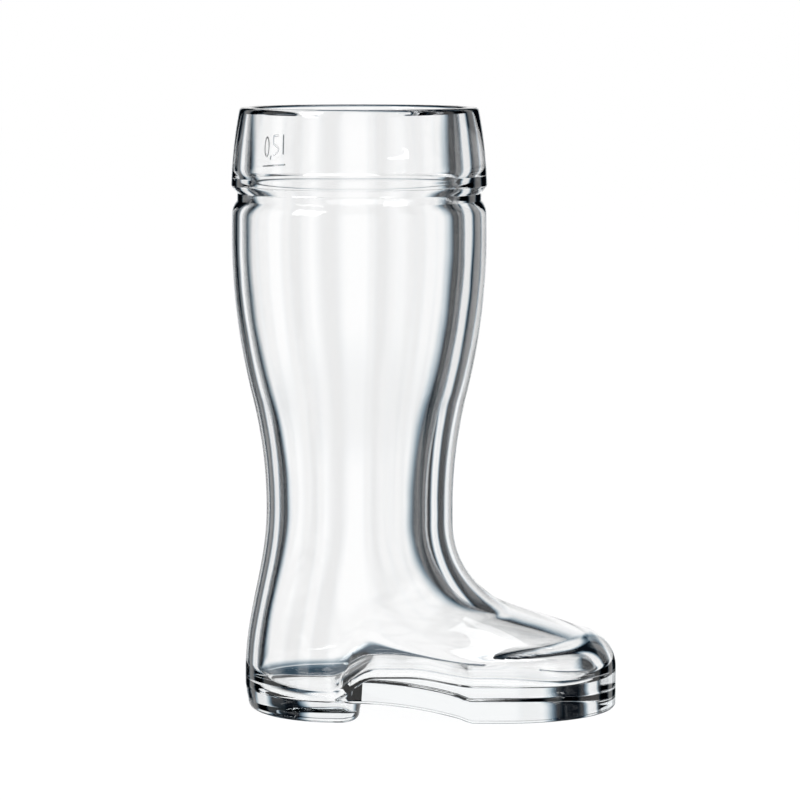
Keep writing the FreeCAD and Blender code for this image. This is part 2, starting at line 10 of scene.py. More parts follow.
# %% The frame that the glass has to fit
import bmesh
import bpy
import math
import numpy as np
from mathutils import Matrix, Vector


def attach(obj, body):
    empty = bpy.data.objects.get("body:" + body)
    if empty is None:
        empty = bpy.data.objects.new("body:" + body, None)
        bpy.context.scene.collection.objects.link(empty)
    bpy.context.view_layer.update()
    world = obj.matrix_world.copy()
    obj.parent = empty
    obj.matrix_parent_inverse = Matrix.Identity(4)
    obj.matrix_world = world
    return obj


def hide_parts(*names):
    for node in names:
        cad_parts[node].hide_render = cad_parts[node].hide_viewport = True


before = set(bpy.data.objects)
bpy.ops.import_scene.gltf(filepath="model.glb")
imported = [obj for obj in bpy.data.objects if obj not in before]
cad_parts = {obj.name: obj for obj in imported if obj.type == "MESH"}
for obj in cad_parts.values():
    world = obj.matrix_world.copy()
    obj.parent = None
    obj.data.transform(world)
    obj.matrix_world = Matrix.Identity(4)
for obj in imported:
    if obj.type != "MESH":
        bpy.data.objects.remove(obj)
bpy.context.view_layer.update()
MM = 0.001

# %% [markdown]
# ## The camera
#
# The photograph was taken with a long lens from about a metre away, slightly above
# the glass: the rim shows as a very flat ellipse, and the floor's edge can't be seen.
# The camera looks along +Y, so the toe points to the right.

# %% Camera
camera = bpy.data.objects.new("camera", bpy.data.cameras.new("camera"))
bpy.context.scene.collection.objects.link(camera)
bpy.context.scene.camera = camera
camera.location = (-8.1 * MM, -1075 * MM, 221 * MM)
camera.rotation_euler = (math.radians(90 - 6.4), 0, 0)
camera.data.sensor_width = 36
camera.data.lens = 150.3
bpy.context.scene.view_settings.view_transform = "Standard"
print("camera height above the floor:", round(camera.location.z / MM), "mm")

# %% [markdown]
# ## Helpers for colours and nodes
#
# A colour is written as the hex value that a paint chart or a picture editor gives,
# and one function turns it to the linear values that the renderer works with. A
# second function adds a node with its settings and links, for shaders and for
# Geometry Nodes alike.

# %% Colour and node helpers
def colour(code):
    """Linear RGBA of an sRGB hex value such as 'F4F7F7'."""
    parts = [int(code[place : place + 2], 16) / 255 for place in (0, 2, 4)]
    linear = [c / 12.92 if c <= 0.04045 else ((c + 0.055) / 1.055) ** 2.4 for c in parts]
    return (*linear, 1.0)


def add(tree, kind, sockets=None, **settings):
    """Adds a node. Sockets map an input to a value or to another node's output."""
    node = tree.nodes.new(kind)
    for name, value in settings.items():
        setattr(node, name, value)
    for key, value in (sockets or {}).items():
        if isinstance(value, bpy.types.NodeSocket):
            tree.links.new(value, node.inputs[key])
        else:
            node.inputs[key].default_value = value
    return node


# %% [markdown]
# ## Sizes of the glass
#
# All sizes are in millimetres, measured from the leg's axis and up from the floor.
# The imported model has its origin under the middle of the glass, so at the end
# everything moves back by the distance from that middle to the leg's axis.

# %% Sizes
AXIS_X = -21.2  # the leg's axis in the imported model
SIDES = 160  # points around each level outline

HEIGHT = 195.0
SEAM = 167.6  # groove between leg and collar
LIP = 169.8  # lower lip of the collar
RIM_RADIUS, LIP_RADIUS, NECK_RADIUS = 38.3, 41.2, 39.3
NECK_BAND = 2.4  # plain band under the seam
SHOULDER = 7.0  # round from that band to the calf
CALF_RADIUS, CALF_LEVEL = 41.1, 154.0
ANKLE_RADIUS, ANKLE_LEVEL = 30.3, 66.0
BELLY_SHARE = 0.59
RIM_WALL, CALF_WALL, ANKLE_WALL = 4.2, 5.0, 6.3
BORE_OFFSET = 1.3

# %% [markdown]
# ## The turned part: leg, groove and collar
#
# Above the ankle the glass is a body of revolution: a hollow arc swells into the
# belly of the calf, a small shoulder leads into the neck groove, and above it flares
# the collar. The bore is turned too, but about an axis a little behind the leg's,
# because the blown gob never sits quite true in its mould: the wall is thinner at
# the back than at the front. A Screw modifier could turn one profile, but not two
# about different axes in one go. Geometry Nodes can: the tree below takes the
# profile as a string of points, sweeps it round, and moves the bore's points back.

# %% Profile of the outer and the inner skin
def swell(ankle, calf, levels):
    """Radius at each level: hollow arc above the ankle, then the calf's belly."""
    drop, span = calf - ankle, CALF_LEVEL - ANKLE_LEVEL
    both = (drop**2 + span**2) / (2 * drop)
    belly = BELLY_SHARE * both
    hollow = both - belly
    turn = CALF_LEVEL - BELLY_SHARE * span
    low = ankle + hollow - np.sqrt(np.maximum(hollow**2 - (levels - ANKLE_LEVEL) ** 2, 0))
    high = calf - belly + np.sqrt(belly**2 - (levels - CALF_LEVEL) ** 2)
    return np.where(levels < turn, low, high), belly


def arc_points(centre, radius, start, end, count):
    """Points on an arc in the plane of radius and height, angles in radians."""
    turns = np.linspace(start, end, count)
    return np.stack([centre[0] + radius * np.cos(turns), centre[1] + radius * np.sin(turns)], 1)


def rounded(corners, radii, step=0.25):
    """A string of points through corners, each rounded by its own radius.

    'step' is the distance between points on the rounds.
    """
    path = [np.array(corners[0])]
    for number in range(1, len(corners) - 1):
        here = np.array(corners[number])
        before = np.array(corners[number - 1]) - here
        after = np.array(corners[number + 1]) - here
        before, after = before / np.linalg.norm(before), after / np.linalg.norm(after)
        opening = math.acos(np.clip(before @ after, -1, 1))
        reach = radii[number] / math.tan(opening / 2)
        pieces = max(3, int(radii[number] * (math.pi - opening) / step))
        for way in np.linspace(0, 1, pieces + 1):
            # A quadratic curve through the corner's two tangent points.
            place = here + before * reach * (1 - way) ** 2 + after * reach * way**2
            path.append(place)
    path.append(np.array(corners[-1]))
    return np.array(path)


# Outer skin of the leg, from the ankle up to where the shoulder starts. The shoulder's
# arc touches the calf's arc from inside and ends at the foot of the neck band.
_, belly = swell(ANKLE_RADIUS, CALF_RADIUS, np.array([CALF_LEVEL]))
calf_centre = np.array([CALF_RADIUS - belly, CALF_LEVEL])
neck_foot = np.array([NECK_RADIUS, SEAM - NECK_BAND])
away = neck_foot - calf_centre
distance = np.linalg.norm(away)
corner = (belly - SHOULDER) ** 2 + distance**2 - SHOULDER**2
bearing = math.atan2(away[1], away[0]) - math.acos(corner / (2 * (belly - SHOULDER) * distance))
toward_shoulder = np.array([math.cos(bearing), math.sin(bearing)])
shoulder_centre = calf_centre + (belly - SHOULDER) * toward_shoulder
shoulder_level = calf_centre[1] + belly * math.sin(bearing)
leg_levels = np.linspace(ANKLE_LEVEL, shoulder_level, 78)
leg_line = np.stack([swell(ANKLE_RADIUS, CALF_RADIUS, leg_levels)[0], leg_levels], 1)
neck_turn = math.atan2(*(neck_foot - shoulder_centre)[::-1])
shoulder_line = arc_points(shoulder_centre, SHOULDER, bearing, neck_turn, 9)[1:]

# Collar: neck, lip, slightly bellied outside, fire-polished rim, and down the bore.
COLLAR_BULGE = 0.53
NECK_ROUND, LIP_ROUND, RIM_ROUND = 0.7, 0.9, 1.5
LIP_END, COLLAR_START, RIM_START = 171.5, 172.6, HEIGHT - 2.4  # levels on the way up


def collar_radius(level):
    """Outside of the collar: a straight flare with a slight belly."""
    way = (level - LIP) / (HEIGHT - LIP)
    return LIP_RADIUS + (RIM_RADIUS - LIP_RADIUS) * way + 4 * COLLAR_BULGE * way * (1 - way)


lip_line = rounded(
    [neck_foot, (NECK_RADIUS, SEAM), (LIP_RADIUS, LIP), (collar_radius(LIP_END), LIP_END)],
    [0, NECK_ROUND, LIP_ROUND, 0],
)[1:]
collar_levels = np.linspace(COLLAR_START, RIM_START, 18)
collar_line = np.stack([collar_radius(collar_levels), collar_levels], 1)
bore_rim = RIM_RADIUS - RIM_WALL
rim_line = rounded(
    [
        (collar_radius(RIM_START), RIM_START),
        (RIM_RADIUS, HEIGHT),
        (bore_rim, HEIGHT),
        (bore_rim + 0.1, RIM_START),
    ],
    [0, RIM_ROUND, RIM_ROUND, 0],
    0.2,
)[1:-1]
outer_line = np.concatenate([leg_line, shoulder_line, lip_line, collar_line, rim_line])

BORE_ANKLE, BORE_CALF = ANKLE_RADIUS - ANKLE_WALL, CALF_RADIUS - CALF_WALL
bore_neck = swell(BORE_ANKLE, BORE_CALF, np.array([SEAM]))[0][0]
bore_levels = np.linspace(RIM_START, SEAM + 3, 22)
bore_radii = bore_rim + (bore_neck - bore_rim) * (HEIGHT - bore_levels) / (HEIGHT - SEAM)
bore_collar = np.stack([bore_radii, bore_levels], 1)
bore_levels = np.linspace(SEAM - 1.5, ANKLE_LEVEL, 88)
bore_leg = np.stack([swell(BORE_ANKLE, BORE_CALF, bore_levels)[0], bore_levels], 1)
bore_line = np.concatenate([bore_collar, bore_leg])
# The glass bulges into the bore where the mould's ring forms the neck groove.
RIDGE, RIDGE_LEVEL, RIDGE_SPREAD = 1.3, 168.5, 3.6
bore_line[:, 0] -= RIDGE * np.exp(-(((bore_line[:, 1] - RIDGE_LEVEL) / RIDGE_SPREAD) ** 2))
print("profile points outside:", len(outer_line), "and inside:", len(bore_line))

# %% Geometry Nodes tree that turns the profile
def new_tree(name, inputs):
    """Empty Geometry Nodes tree with its named inputs, and the input and output nodes."""
    tree = bpy.data.node_groups.new(name, "GeometryNodeTree")
    for label, kind in [("Geometry", "NodeSocketGeometry")] + inputs:
        tree.interface.new_socket(label, in_out="INPUT", socket_type=kind)
    tree.interface.new_socket("Geometry", in_out="OUTPUT", socket_type="NodeSocketGeometry")
    given = add(tree, "NodeGroupInput")
    out = add(tree, "NodeGroupOutput")
    return tree, given.outputs, out


def finish_tree(tree, geometry, given, out):
    """Ends a tree in real faces with a material."""
    real = add(tree, "GeometryNodeRealizeInstances", {"Geometry": geometry})
    coated = add(
        tree,
        "GeometryNodeSetMaterial",
        {"Geometry": real.outputs["Geometry"], "Material": given["Material"]},
    )
    tree.links.new(coated.outputs["Geometry"], out.inputs["Geometry"])


def math_node(tree, operation, first, second=0.0):
    """Output of one Math node, the sum or product and so on of two numbers or sockets."""
    return add(tree, "ShaderNodeMath", {0: first, 1: second}, operation=operation).outputs[0]


turned, given, out = new_tree(
    "turned_glass",
    [
        ("Sides", "NodeSocketInt"),
        ("Bore Offset", "NodeSocketFloat"),
        ("Material", "NodeSocketMaterial"),
    ],
)
count = add(turned, "GeometryNodeAttributeDomainSize", {"Geometry": given["Geometry"]})
rows = count.outputs["Point Count"]
sides = math_node(turned, "ADD", given["Sides"], 1)
sheet = add(turned, "GeometryNodeMeshGrid", {"Vertices X": sides, "Vertices Y": rows})
index = add(turned, "GeometryNodeInputIndex").outputs[0]
side = math_node(turned, "FLOOR", math_node(turned, "DIVIDE", index, rows))
row = math_node(turned, "FLOORED_MODULO", index, rows)
place = add(turned, "GeometryNodeInputPosition").outputs[0]
bore = add(turned, "GeometryNodeInputNamedAttribute", {"Name": "bore"}, data_type="FLOAT")
on_line = add(
    turned,
    "GeometryNodeSampleIndex",
    {"Geometry": given["Geometry"], "Value": place, "Index": row},
    data_type="FLOAT_VECTOR",
    domain="POINT",
)
is_bore = add(
    turned,
    "GeometryNodeSampleIndex",
    {"Geometry": given["Geometry"], "Value": bore.outputs[0], "Index": row},
    data_type="FLOAT",
    domain="POINT",
)
parts = add(turned, "ShaderNodeSeparateXYZ", {0: on_line.outputs[0]}).outputs
turn = math_node(turned, "DIVIDE", side, given["Sides"])
turn = math_node(turned, "MULTIPLY", turn, 2 * math.pi)
turn = math_node(turned, "ADD", turn, math.pi)
across = math_node(turned, "MULTIPLY", parts["X"], math_node(turned, "COSINE", turn))
back = math_node(turned, "MULTIPLY", is_bore.outputs[0], given["Bore Offset"])
moved = add(
    turned,
    "ShaderNodeCombineXYZ",
    {
        "X": math_node(turned, "SUBTRACT", across, back),
        "Y": math_node(turned, "MULTIPLY", parts["X"], math_node(turned, "SINE", turn)),
        "Z": parts["Z"],
    },
)
swept = add(
    turned,
    "GeometryNodeSetPosition",
    {"Geometry": sheet.outputs["Mesh"], "Position": moved.outputs[0]},
)
SAME_PLACE = 1e-4  # mm between points that are one
joined = add(
    turned,
    "GeometryNodeMergeByDistance",
    {"Geometry": swept.outputs[0], "Distance": SAME_PLACE},
)
finish_tree(turned, joined.outputs[0], given, out)
print("nodes in the turning tree:", len(turned.nodes))

# %% [markdown]
# ## The foot
#
# The foot can't be turned. Its level outlines are egg-shaped: a round heel, straight
# sides and a long oval toe that runs out under the instep. Seen from the side, the
# front line falls plumb from the ankle, bends round the instep, runs down the vamp
# and rolls over the toe. From those two rules every column of points around the foot
# can be followed downwards, which keeps the quads even and the reflections smooth.

# %% Level outlines and side view of the foot
FOOT_WIDTH, HEEL_REACH, HEEL_LEVEL = 62.0, 37.4, 12.0
TOE_REACH, TOE_CENTRE, TOE_LEVEL = 83.6, 46.0, 22.0
INSTEP_ROUND, TOE_ROUND = 29.0, 12.0
HOLLOW_INSTEP, HOLLOW_TOE = 35.0, 8.0  # the same two rounds of the inner skin
VAMP_SLOPE = math.radians(18)
TOE_DELAY = 3.5  # how late the toe's oval draws away on the way down the vamp


def front_line(throat, reach, level, instep, toe):
    """Side view of a skin's front from the ankle to the floor, as points (x, z)."""
    slope = VAMP_SLOPE
    instep_x = throat + instep
    vamp_z = level + (reach - instep_x) * math.tan(slope)
    instep_centre = (instep_x, vamp_z + instep / math.cos(slope))
    toe_x = reach - toe
    toe_centre = (toe_x, level + toe * math.tan(slope) - toe / math.cos(slope))
    return np.concatenate(
        [
            [(throat, ANKLE_LEVEL)],
            arc_points(instep_centre, instep, math.pi, 1.5 * math.pi - slope, 60),
            arc_points(toe_centre, toe, math.pi / 2 - slope, 0, 40),
            [(reach, 0.0)],
        ]
    )


def outline(level, front, skin):
    """Level outline, point by point round from the back, the first half mirrored."""
    way = np.clip((ANKLE_LEVEL - level) / (ANKLE_LEVEL - HEEL_LEVEL), 0, 1)
    swelling = (1 - math.cos(math.pi * way)) / 2
    back = skin["ankle_back"] + (skin["heel_back"] - skin["ankle_back"]) * swelling
    half = skin["ankle_half"] + (skin["heel_half"] - skin["ankle_half"]) * swelling
    heel_x = half - back
    throat, reach = skin["front"][0][0], skin["front"][-1][0]
    run = max((front - throat) / (reach - throat), 0.0)
    ankle_x = skin["ankle_half"] - skin["ankle_back"]
    toe_x = max(ankle_x + (TOE_CENTRE - ankle_x) * run**TOE_DELAY, heel_x)
    turns = np.linspace(math.pi, 1.5 * math.pi, 60)
    heel = np.stack([heel_x + half * np.cos(turns), half * np.sin(turns)], 1)
    turns = np.linspace(-math.pi / 2, 0, 80)
    toe = np.stack([toe_x + (front - toe_x) * np.cos(turns), half * np.sin(turns)], 1)
    line = np.concatenate([heel, toe])
    steps = np.concatenate([[0], np.cumsum(np.linalg.norm(np.diff(line, axis=0), axis=1))])
    marks = np.linspace(0, steps[-1], SIDES // 2 + 1)
    right = np.stack([np.interp(marks, steps, line[:, n]) for n in (0, 1)], 1)
    left = right[1:-1][::-1] * (1, -1)
    return np.concatenate([right, left])


def columns(skin, rows, warp_from, floor, edge):
    """Grid of points (row, side, xyz) down the skin to where the bottom's round begins.

    Above warp_from the rows are level. Below it each column ends at its own height,
    by the bottom's round above the floor's height at that place.
    """
    front = skin["front"]
    levels = np.linspace(ANKLE_LEVEL, 0, 500)
    at_front = np.interp(levels, front[::-1, 1], front[::-1, 0])
    table = np.array([outline(z, x, skin) for z, x in zip(levels, at_front)])
    steps = np.concatenate([[0], np.cumsum(np.linalg.norm(np.diff(front, axis=0), axis=1))])
    even = np.interp(np.linspace(0, steps[-1], rows), steps, front[:, 1])
    even = np.minimum.accumulate(even)
    ends = floor(table[-1, :, 0]) + edge(table[-1, :, 0])
    below = np.clip((warp_from - even) / warp_from, 0, 1)
    warped = warp_from + (ends - warp_from)[None] * below[:, None]
    z = np.where(even[:, None] > warp_from, even[:, None], warped)
    points = np.empty((rows, SIDES, 3))
    for side in range(SIDES):
        for axis in (0, 1):
            points[:, side, axis] = np.interp(-z[:, side], -levels, table[:, side, axis])
    points[:, :, 2] = z
    return points


def bottom_round(ring, floor, edge, steps=7):
    """Rings that turn the wall under into the floor, by a quarter circle."""
    along = np.roll(ring, -1, 0) - np.roll(ring, 1, 0)
    inward = np.stack([-along[:, 1], along[:, 0]], 1)
    inward /= np.linalg.norm(inward, axis=1)[:, None]
    rounds = edge(ring[:, 0])
    rings = []
    for step in range(1, steps + 1):
        angle = math.pi / 2 * step / steps
        place = ring[:, :2] + inward * rounds[:, None] * (1 - math.cos(angle))
        level = floor(place[:, 0]) + rounds * (1 - math.sin(angle))
        rings.append(np.concatenate([place, level[:, None]], 1))
    return rings


def smooth_step(values, start, end):
    """0 before start, 1 after end, and an even S between."""
    way = np.clip((values - start) / (end - start), 0, 1)
    return way * way * (3 - 2 * way)


# The outer skin's underside: level behind the heel's front, then the arch, then the sole.
ARCH_RISE, ARCH_START, ARCH_END, ARCH_BOW = 6.4, 1.0, 37.0, 1.3


def underside(x):
    """Height of the outer skin's underside."""
    way = np.clip((ARCH_END - x) / (ARCH_END - ARCH_START), 0, 1)
    level = ARCH_RISE * way + 4 * ARCH_BOW * way * (1 - way)
    return level * smooth_step(ARCH_END - x, -1.0, 5.0)


# The hollow's floor: deep in the heel, high over the arch, and between in the fore foot.
HEEL_FLOOR, ARCH_FLOOR, FORE_FLOOR = 5.6, 13.0, 10.0


def hollow_floor(x):
    """Height of the hollow's floor."""
    rise = (ARCH_FLOOR - HEEL_FLOOR) * smooth_step(x, -9.0, 5.0)
    fall = (ARCH_FLOOR - FORE_FLOOR) * smooth_step(x, 16.0, 38.0)
    return HEEL_FLOOR + rise - fall


# How far the walls turn under into those two floors.
SOLE_ROUND = 1.6
HOLLOW_ROUND, TIP_ROUND = 9.0, 4.0  # the hollow's round narrows towards the tip of the toe


def sole_round(x):
    """The same round under the whole outer skin."""
    return np.full(len(x), SOLE_ROUND)


def hollow_round(x):
    """Round between the hollow's wall and its floor."""
    return HOLLOW_ROUND - (HOLLOW_ROUND - TIP_ROUND) * smooth_step(x, 40.0, 72.0)


outer_skin = {
    "front": front_line(ANKLE_RADIUS, TOE_REACH, TOE_LEVEL, INSTEP_ROUND, TOE_ROUND),
    "ankle_back": ANKLE_RADIUS,
    "ankle_half": ANKLE_RADIUS,
    "heel_back": HEEL_REACH,
    "heel_half": FOOT_WIDTH / 2,
}
VAMP_WALL, TOE_WALL, HEEL_WALL, SIDE_WALL = 6.0, 6.0, 4.0, 4.6
vamp_level = TOE_LEVEL - VAMP_WALL / math.cos(VAMP_SLOPE) + TOE_WALL * math.tan(VAMP_SLOPE)
hollow_reach = TOE_REACH - TOE_WALL
inner_skin = {
    "front": front_line(
        BORE_ANKLE - BORE_OFFSET, hollow_reach, vamp_level, HOLLOW_INSTEP, HOLLOW_TOE
    ),
    "ankle_back": BORE_ANKLE + BORE_OFFSET,
    "ankle_half": BORE_ANKLE,
    "heel_back": HEEL_REACH - HEEL_WALL,
    "heel_half": FOOT_WIDTH / 2 - SIDE_WALL,
}
outer_foot = columns(outer_skin, rows=92, warp_from=20.0, floor=underside, edge=sole_round)
inner_foot = columns(inner_skin, rows=84, warp_from=30.0, floor=hollow_floor, edge=hollow_round)
for label, grid in (("outer foot", outer_foot), ("hollow", inner_foot)):
    ends = grid[-1, :, 2]
    print(label, "turns under at", ends.min().round(1), "to", ends.max().round(1), "mm")

# %% [markdown]
# ## Joining rings into faces
#
# Rings of equal count are joined by quads, and a bottom ring is closed by a ladder:
# each point on one side is joined across to its mirror image. A fan from one point in
# the middle would be shorter to write, but its long thin triangles show as a star in
# clear glass.

# %% Mesh helpers
class Faces:
    """Collects points and faces in millimetres."""

    def __init__(self):
        self.points, self.faces = [], []

    def ring(self, places):
        """Adds a ring of points and returns their numbers."""
        start = len(self.points)
        self.points += [tuple(p) for p in places]
        return list(range(start, len(self.points)))

    def bridge(self, first, second):
        """Joins two rings of equal count by quads."""
        for n in range(len(first)):
            m = (n + 1) % len(first)
            self.faces.append((first[n], first[m], second[m], second[n]))

    def ladder(self, ring, floor, rungs=36):
        """Closes a ring by rungs across it, at the floor's height."""
        last = len(ring)
        row = [ring[0]]
        for n in range(1, last // 2 + 1):
            if n == last // 2:
                following = [ring[n]]
            else:
                near, far = np.array(self.points[ring[n]]), np.array(self.points[ring[last - n]])
                inside = [near + (far - near) * k / rungs for k in range(1, rungs)]
                inside = [(p[0], p[1], float(floor(p[0]))) for p in inside]
                following = [ring[n]] + self.ring(inside) + [ring[last - n]]
            self.rungs(row, following)
            row = following

    def rungs(self, row, following):
        """Faces between two rows across a ring, of which one may be a single point."""
        if len(row) == 1:
            self.faces += [(row[0], a, b) for a, b in zip(following, following[1:])]
        elif len(following) == 1:
            self.faces += [(a, following[0], b) for a, b in zip(row, row[1:])]
        else:
            for k in range(len(row) - 1):
                self.faces.append((row[k], following[k], following[k + 1], row[k + 1]))

    def mesh(self, name):
        """A mesh in metres, with points on the same place merged."""
        made = bpy.data.meshes.new(name)
        made.from_pydata([Vector(p) * MM for p in self.points], [], self.faces)
        tidy = bmesh.new()
        tidy.from_mesh(made)
        bmesh.ops.remove_doubles(tidy, verts=tidy.verts, dist=1e-6)
        bmesh.ops.recalc_face_normals(tidy, faces=tidy.faces)
        tidy.to_mesh(made)
        tidy.free()
        return made


def linked(name, mesh):
    """An object in the scene that shows the mesh."""
    item = bpy.data.objects.new(name, mesh)
    bpy.context.scene.collection.objects.link(item)
    return item


def baked(item):
    """Plain mesh of the object with its modifiers applied."""
    graph = bpy.context.evaluated_depsgraph_get()
    return bpy.data.meshes.new_from_object(item.evaluated_get(graph), depsgraph=graph)


# %% [markdown]
# ## The heel
#
# The bottom plate of the mould forms the heel as a block: straight across the front
# with two rounded corners, and drawn in a little towards the floor. It is made as a
# closed block and united with the underside, which leaves the fine parting line that
# runs round the real heel.

# %% Lower foot and heel
HEEL_FRONT, HEEL_CORNER, HEEL_SPREAD = 1.0, 9.0, 0.6
CUT_LEVEL = 30.0  # the foot is closed by a cap here while the heel is united with it
CUT_ROW = int(np.argmin(np.abs(outer_foot[:, 0, 2] - CUT_LEVEL)))

lower = Faces()
previous = lower.ring(outer_foot[CUT_ROW])
cap = tuple(previous)
outer_turn = bottom_round(outer_foot[-1], underside, sole_round)
for points in list(outer_foot[CUT_ROW + 1 :]) + outer_turn:
    following = lower.ring(points)
    lower.bridge(previous, following)
    previous = following
lower.ladder(previous, underside)
lower.faces.append(cap)


def heel_outline(inset):
    """Level outline of the heel block, drawn in all round."""
    half = FOOT_WIDTH / 2 - inset
    centre_x = FOOT_WIDTH / 2 - HEEL_REACH
    corner = HEEL_CORNER - inset
    corner_x, corner_y = HEEL_FRONT - HEEL_CORNER, FOOT_WIDTH / 2 + HEEL_SPREAD - HEEL_CORNER
    # Where the rounded corner meets the straight side of the foot.
    meets = math.asin(min((half - corner_y) / corner, 1.0))
    back = arc_points((centre_x, 0), half, math.pi, 1.5 * math.pi, 40)
    round_off = arc_points((corner_x, -corner_y), corner, -meets, 0, 12)
    right = np.concatenate([back, round_off])
    across = np.linspace(-corner_y, 0, 9)[1:-1]
    right = np.concatenate([right, np.stack([np.full(7, HEEL_FRONT - inset), across], 1)])
    middle = [(HEEL_FRONT - inset, 0.0)]
    return np.concatenate([right, middle, right[1:][::-1] * (1, -1)])


HEEL_ROUND, HEEL_DRAFT = 2.4, 0.85
# Rows of the block from the top down: level, and how far the outline is drawn in.
heel_rows = [(9.0, 0.12), (7.4, 0.12), (6.6, 0.2), (5.4, 0.35), (4.0, 0.6), (3.0, 0.8)]
for angle in np.linspace(0, math.pi / 2, 9)[1:]:
    level = HEEL_ROUND * (1 - math.sin(angle))
    heel_rows.append((level, HEEL_DRAFT + HEEL_ROUND * (1 - math.cos(angle))))
heel = Faces()
previous = None
for level, inset in heel_rows:
    plan = heel_outline(inset)
    following = heel.ring(np.concatenate([plan, np.full((len(plan), 1), level)], 1))
    if previous is None:
        heel.faces.append(tuple(following))
    else:
        heel.bridge(previous, following)
    previous = following
heel.faces.append(tuple(previous))

foot_base = linked("foot_base", lower.mesh("foot_base"))
heel_block = linked("heel_block", heel.mesh("heel_block"))
union = foot_base.modifiers.new("unite", "BOOLEAN")
union.operation, union.solver, union.object = "UNION", "EXACT", heel_block
base_mesh = baked(foot_base)
for item in (foot_base, heel_block):
    bpy.data.objects.remove(item)
print("faces in the united base:", len(base_mesh.polygons))

# %% [markdown]
# ## One wall of glass
#
# Now the two skins meet. The turned part comes from its tree, the foot's outer skin
# ends in the united base, and the inner skin runs down to the hollow's floor. Points
# that lie on each other are merged, which makes one closed shell, and a closed shell
# is what refraction needs: light has to enter and leave through a face each time.

# %% Turned part from its tree
def tree_inputs(item, name, tree, values):
    """Puts the tree on the object and sets its inputs by name."""
    modifier = item.modifiers.new(name, "NODES")
    modifier.node_group = tree
    for socket in tree.interface.items_tree:
        if socket.in_out == "INPUT" and socket.name in values:
            modifier[socket.identifier] = values[socket.name]


profile_points = [(r, 0, z) for r, z in np.concatenate([outer_line, bore_line])]
profile = bpy.data.meshes.new("profile")
profile.from_pydata(profile_points, [(n, n + 1) for n in range(len(profile_points) - 1)], [])
bore_mark = profile.attributes.new("bore", "FLOAT", "POINT")
bore_mark.data.foreach_set("value", [0.0] * len(outer_line) + [1.0] * len(bore_line))
turned_part = linked("turned_part", profile)
tree_inputs(turned_part, "turn", turned, {"Sides": SIDES, "Bore Offset": BORE_OFFSET})
turned_mesh = baked(turned_part)
bpy.data.objects.remove(turned_part)
print("faces in the turned part:", len(turned_mesh.polygons))

# %% Outer and inner skin of the foot, and the whole wall
skins = Faces()
previous = skins.ring(outer_foot[0])
for points in outer_foot[1 : CUT_ROW + 1]:
    following = skins.ring(points)
    skins.bridge(previous, following)
    previous = following
previous = skins.ring(inner_foot[0])
inner_turn = bottom_round(inner_foot[-1], hollow_floor, hollow_round, steps=10)
for points in list(inner_foot[1:]) + inner_turn:
    following = skins.ring(points)
    skins.bridge(previous, following)
    previous = following
skins.ladder(previous, hollow_floor)

JOIN = 8e-6  # metres between points of two parts that are one point of the wall
wall = bmesh.new()
wall.from_mesh(turned_mesh)
for point in wall.verts:
    point.co *= MM
start = len(wall.faces)
wall.from_mesh(base_mesh)
wall.faces.ensure_lookup_table()
cut_level = outer_foot[CUT_ROW, 0, 2] * MM
caps = [
    face
    for face in wall.faces[start:]
    if all(abs(point.co.z - cut_level) < 1e-6 for point in face.verts)
]
bmesh.ops.delete(wall, geom=caps, context="FACES_ONLY")
wall.from_mesh(skins.mesh("skins"))
bmesh.ops.remove_doubles(wall, verts=wall.verts, dist=JOIN)
for point in wall.verts:
    point.co.x += AXIS_X * MM
loose = [edge for edge in wall.edges if len(edge.link_faces) != 2]
bmesh.ops.recalc_face_normals(wall, faces=wall.faces)
SHARP = math.radians(32)  # edges with a bend above this stay crisp
for edge in wall.edges:
    edge.smooth = len(edge.link_faces) != 2 or edge.calc_face_angle(0) < SHARP
for face in wall.faces:
    face.smooth = True
glass_mesh = bpy.data.meshes.new("boot_glass")
wall.to_mesh(glass_mesh)
volume = wall.calc_volume() * 1e6
wall.free()
boot = linked("boot_glass", glass_mesh)
boot.data.materials.clear()
print("open or doubled edges:", len(loose), " glass volume:", round(volume, 1), "cm3")

# %% [markdown]
# ## Relief on the collar
#
# A filling line and the capacity in plain numerals stand a fraction of a millimetre
# proud of the collar. In the mould they are shallow engraved strokes. They could be
# cut into the mesh, but a relief so thin would need very small faces all round it.
# Here each stroke is drawn flat as a line, and a Geometry Nodes tree gives every line
# the rounded section of an engraver's cut and lays it on the flare of the collar.

# %% Strokes, drawn flat: across the collar and up, in mm
MARK_TURN = math.radians(139)
FILL = HEIGHT - 21.0
LINE_HALF = 6.5
WIDE, HIGH, BOWL = 2.8, 5.0, 2.9  # width and height of a numeral, height of the five's bowl
LOW = FILL + 3.0
# In the photograph the marks read from left to right through the far wall, so from
# behind they run from right to left: the nought is drawn at the right.
NOUGHT, COMMA, FIVE, LITRE = 4.0, 1.2, -0.2, -5.4
COMMA_LEAN, COMMA_DROP = 0.5, 1.0
full_round, half_round = np.linspace(0, 2 * math.pi, 25), np.linspace(0, math.pi, 13)
oval = [(NOUGHT + WIDE / 2 * math.sin(a), LOW + HIGH / 2 * (1 - math.cos(a))) for a in full_round]
bowl = [(FIVE - WIDE * math.sin(a), LOW + BOWL * (1 - a / math.pi)) for a in half_round]
strokes = [
    [(-LINE_HALF, FILL), (LINE_HALF, FILL)],
    oval,
    [(COMMA, LOW), (COMMA + COMMA_LEAN, LOW - COMMA_DROP)],
    [(FIVE - WIDE, LOW + HIGH), (FIVE, LOW + HIGH)] + bowl,
    [(LITRE, LOW), (LITRE, LOW + HIGH)],
]

